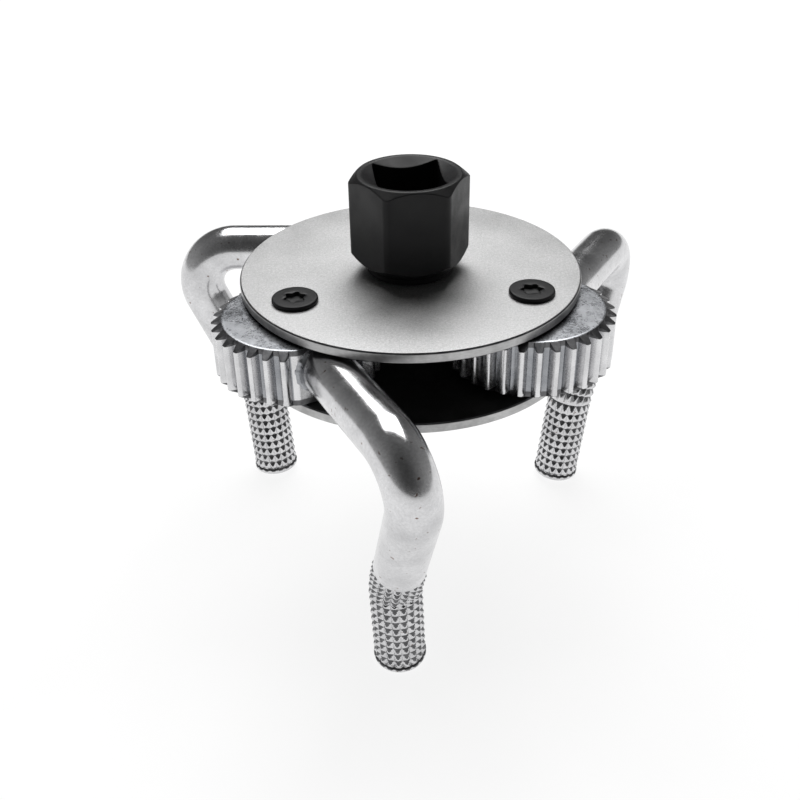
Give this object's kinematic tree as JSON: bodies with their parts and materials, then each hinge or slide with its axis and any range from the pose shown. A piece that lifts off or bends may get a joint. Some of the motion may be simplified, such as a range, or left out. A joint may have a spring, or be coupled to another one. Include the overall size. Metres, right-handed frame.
{
  "type": "oil filter wrench",
  "caption": "Three-jaw oil filter wrench: a square-drive hub turns a sun gear between two round plates, and meshed gears swing bent, knurled legs in to grip the filter.",
  "frame": {"origin": "centre of the square drive socket's mouth, on the drive axis, level with the top of the hex head", "axes": "+Z along the drive axis, out of the socket's mouth; the legs hang towards -Z; +Y through the pivot of jaw 1"},
  "size_m": [0.1037, 0.1024, 0.0861],
  "materials": {
    "black_steel": "black phosphate, satin",
    "plated_steel": "bright zinc plating, polished",
    "tumbled_plate": "tumbled, matt zinc plating",
    "plain_steel": "turned, oiled"
  },
  "bodies": {
    "frame": {"top_plate": "tumbled_plate", "bottom_plate": "tumbled_plate", "pivot_sleeve_1": "plain_steel", "top_screw_1": "black_steel", "bottom_screw_1": "black_steel", "pivot_sleeve_2": "plain_steel", "top_screw_2": "black_steel", "bottom_screw_2": "black_steel", "pivot_sleeve_3": "plain_steel", "top_screw_3": "black_steel", "bottom_screw_3": "black_steel"},
    "drive": {"drive_hub": "black_steel", "sun_gear": "plated_steel", "thrust_washer": "plain_steel", "retaining_ring": "black_steel"},
    "jaw_1": {"planet_gear_1": "plated_steel", "leg_1": "plated_steel"},
    "jaw_2": {"planet_gear_2": "plated_steel", "leg_2": "plated_steel"},
    "jaw_3": {"planet_gear_3": "plated_steel", "leg_3": "plated_steel"}
  },
  "joints": [
    {"name": "drive_spin", "type": "hinge", "parent": "frame", "child": "drive", "pos_m": [0, 0, 0], "axis": [0, 0, 1], "range_deg": [-45, 294]},
    {"name": "jaw_1_swing", "type": "hinge", "parent": "frame", "child": "jaw_1", "pos_m": [0, 0.026, -0.02], "axis": [0, 0, 1], "range_deg": [-199.5, 30.8]},
    {"name": "jaw_2_swing", "type": "hinge", "parent": "frame", "child": "jaw_2", "pos_m": [-0.02252, -0.013, -0.02], "axis": [0, 0, 1], "range_deg": [-199.5, 30.8]},
    {"name": "jaw_3_swing", "type": "hinge", "parent": "frame", "child": "jaw_3", "pos_m": [0.02252, -0.013, -0.02], "axis": [0, 0, 1], "range_deg": [-199.5, 30.8]}
  ],
  "couplings": [
    {"joint": "jaw_1_swing", "follows": "drive_spin", "ratio": -0.67742},
    {"joint": "jaw_2_swing", "follows": "drive_spin", "ratio": -0.67742},
    {"joint": "jaw_3_swing", "follows": "drive_spin", "ratio": -0.67742}
  ]
}
